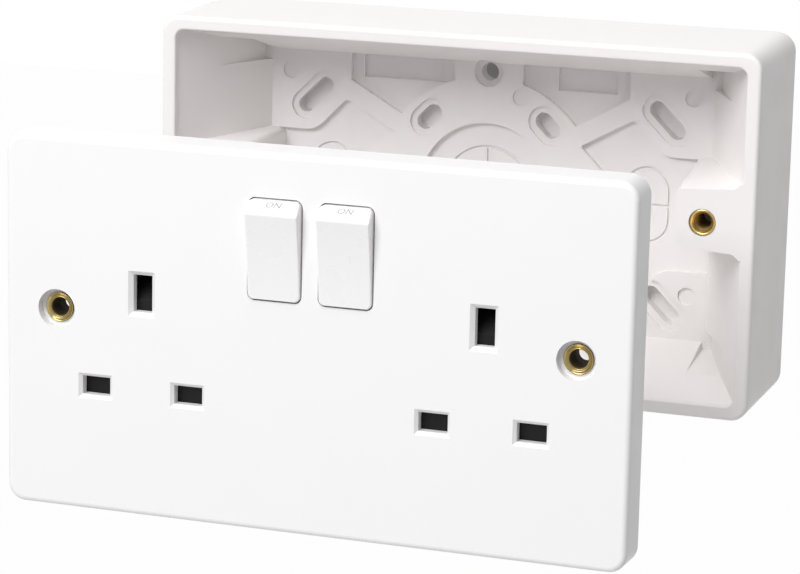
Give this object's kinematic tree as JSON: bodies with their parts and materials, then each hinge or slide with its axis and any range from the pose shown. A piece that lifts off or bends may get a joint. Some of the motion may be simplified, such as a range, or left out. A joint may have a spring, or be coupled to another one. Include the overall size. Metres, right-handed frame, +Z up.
{
  "type": "surface mounted socket",
  "caption": "Twin switched socket outlet for flat three-pin plugs, with its front pulled forward and down off a surface box for the wall",
  "frame": {"origin": "the middle of the box's back face, which lies on the wall", "axes": "+X along the width, to the right as seen from the front; +Y into the wall; +Z up"},
  "size_m": [0.1583, 0.0983, 0.1057],
  "materials": {
    "white_plastic": "semi gloss moulding",
    "black_plastic": "matt",
    "brass": "bright turned",
    "spring_steel": "drawn wire",
    "plated_steel": "zinc plated"
  },
  "bodies": {
    "box": {"back_box": "white_plastic", "insert_left": "brass", "insert_right": "brass"},
    "front": {"front_plate": "white_plastic", "eyelet_left": "brass", "eyelet_right": "brass", "rear_cover": "white_plastic", "cover_screws": "plated_steel", "neutral_bar": "brass", "earth_bar": "brass", "live_bar": "brass", "live_clip_left": "brass", "live_clip_right": "brass", "neutral_terminal": "brass", "earth_terminal": "brass", "live_terminal": "brass", "terminal_screws": "plated_steel", "shutter_spring_left": "spring_steel", "shutter_spring_right": "spring_steel"},
    "left_rocker": {"rocker_left": "white_plastic", "plunger_left": "white_plastic", "rocker_spring_left": "spring_steel"},
    "left_contact": {"moving_contact_left": "brass"},
    "left_shutter": {"shutter_left": "black_plastic"},
    "right_rocker": {"rocker_right": "white_plastic", "plunger_right": "white_plastic", "rocker_spring_right": "spring_steel"},
    "right_contact": {"moving_contact_right": "brass"},
    "right_shutter": {"shutter_right": "black_plastic"}
  },
  "joints": [
    {"name": "front_seat", "type": "slide", "parent": "box", "child": "front", "axis": [0.2188, 0.9107, 0.3504], "range_m": [0, 0.0562]},
    {"name": "switch_left", "type": "hinge", "parent": "front", "child": "left_rocker", "pos_m": [-0.02055, -0.0936, 0.0015], "axis": [-1, 0, 0], "range_deg": [0, 13]},
    {"name": "contact_left", "type": "hinge", "parent": "front", "child": "left_contact", "pos_m": [-0.02055, -0.08198, 0.0015], "axis": [1, 0, 0], "range_deg": [0, 13]},
    {"name": "shutter_left", "type": "slide", "parent": "front", "child": "left_shutter", "axis": [0, 0, -1], "range_m": [0, 0.0065], "stiffness_N_per_m": 80, "springref_m": -0.004, "deforming": ["shutter_spring_left"]},
    {"name": "switch_right", "type": "hinge", "parent": "front", "child": "right_rocker", "pos_m": [-0.00405, -0.0936, 0.0015], "axis": [-1, 0, 0], "range_deg": [0, 13]},
    {"name": "contact_right", "type": "hinge", "parent": "front", "child": "right_contact", "pos_m": [-0.00405, -0.08198, 0.0015], "axis": [1, 0, 0], "range_deg": [0, 13]},
    {"name": "shutter_right", "type": "slide", "parent": "front", "child": "right_shutter", "axis": [0, 0, -1], "range_m": [0, 0.0065], "stiffness_N_per_m": 80, "springref_m": -0.004, "deforming": ["shutter_spring_right"]}
  ],
  "couplings": [
    {"joint": "contact_left", "follows": "switch_left", "ratio": 1},
    {"joint": "contact_right", "follows": "switch_right", "ratio": 1}
  ]
}
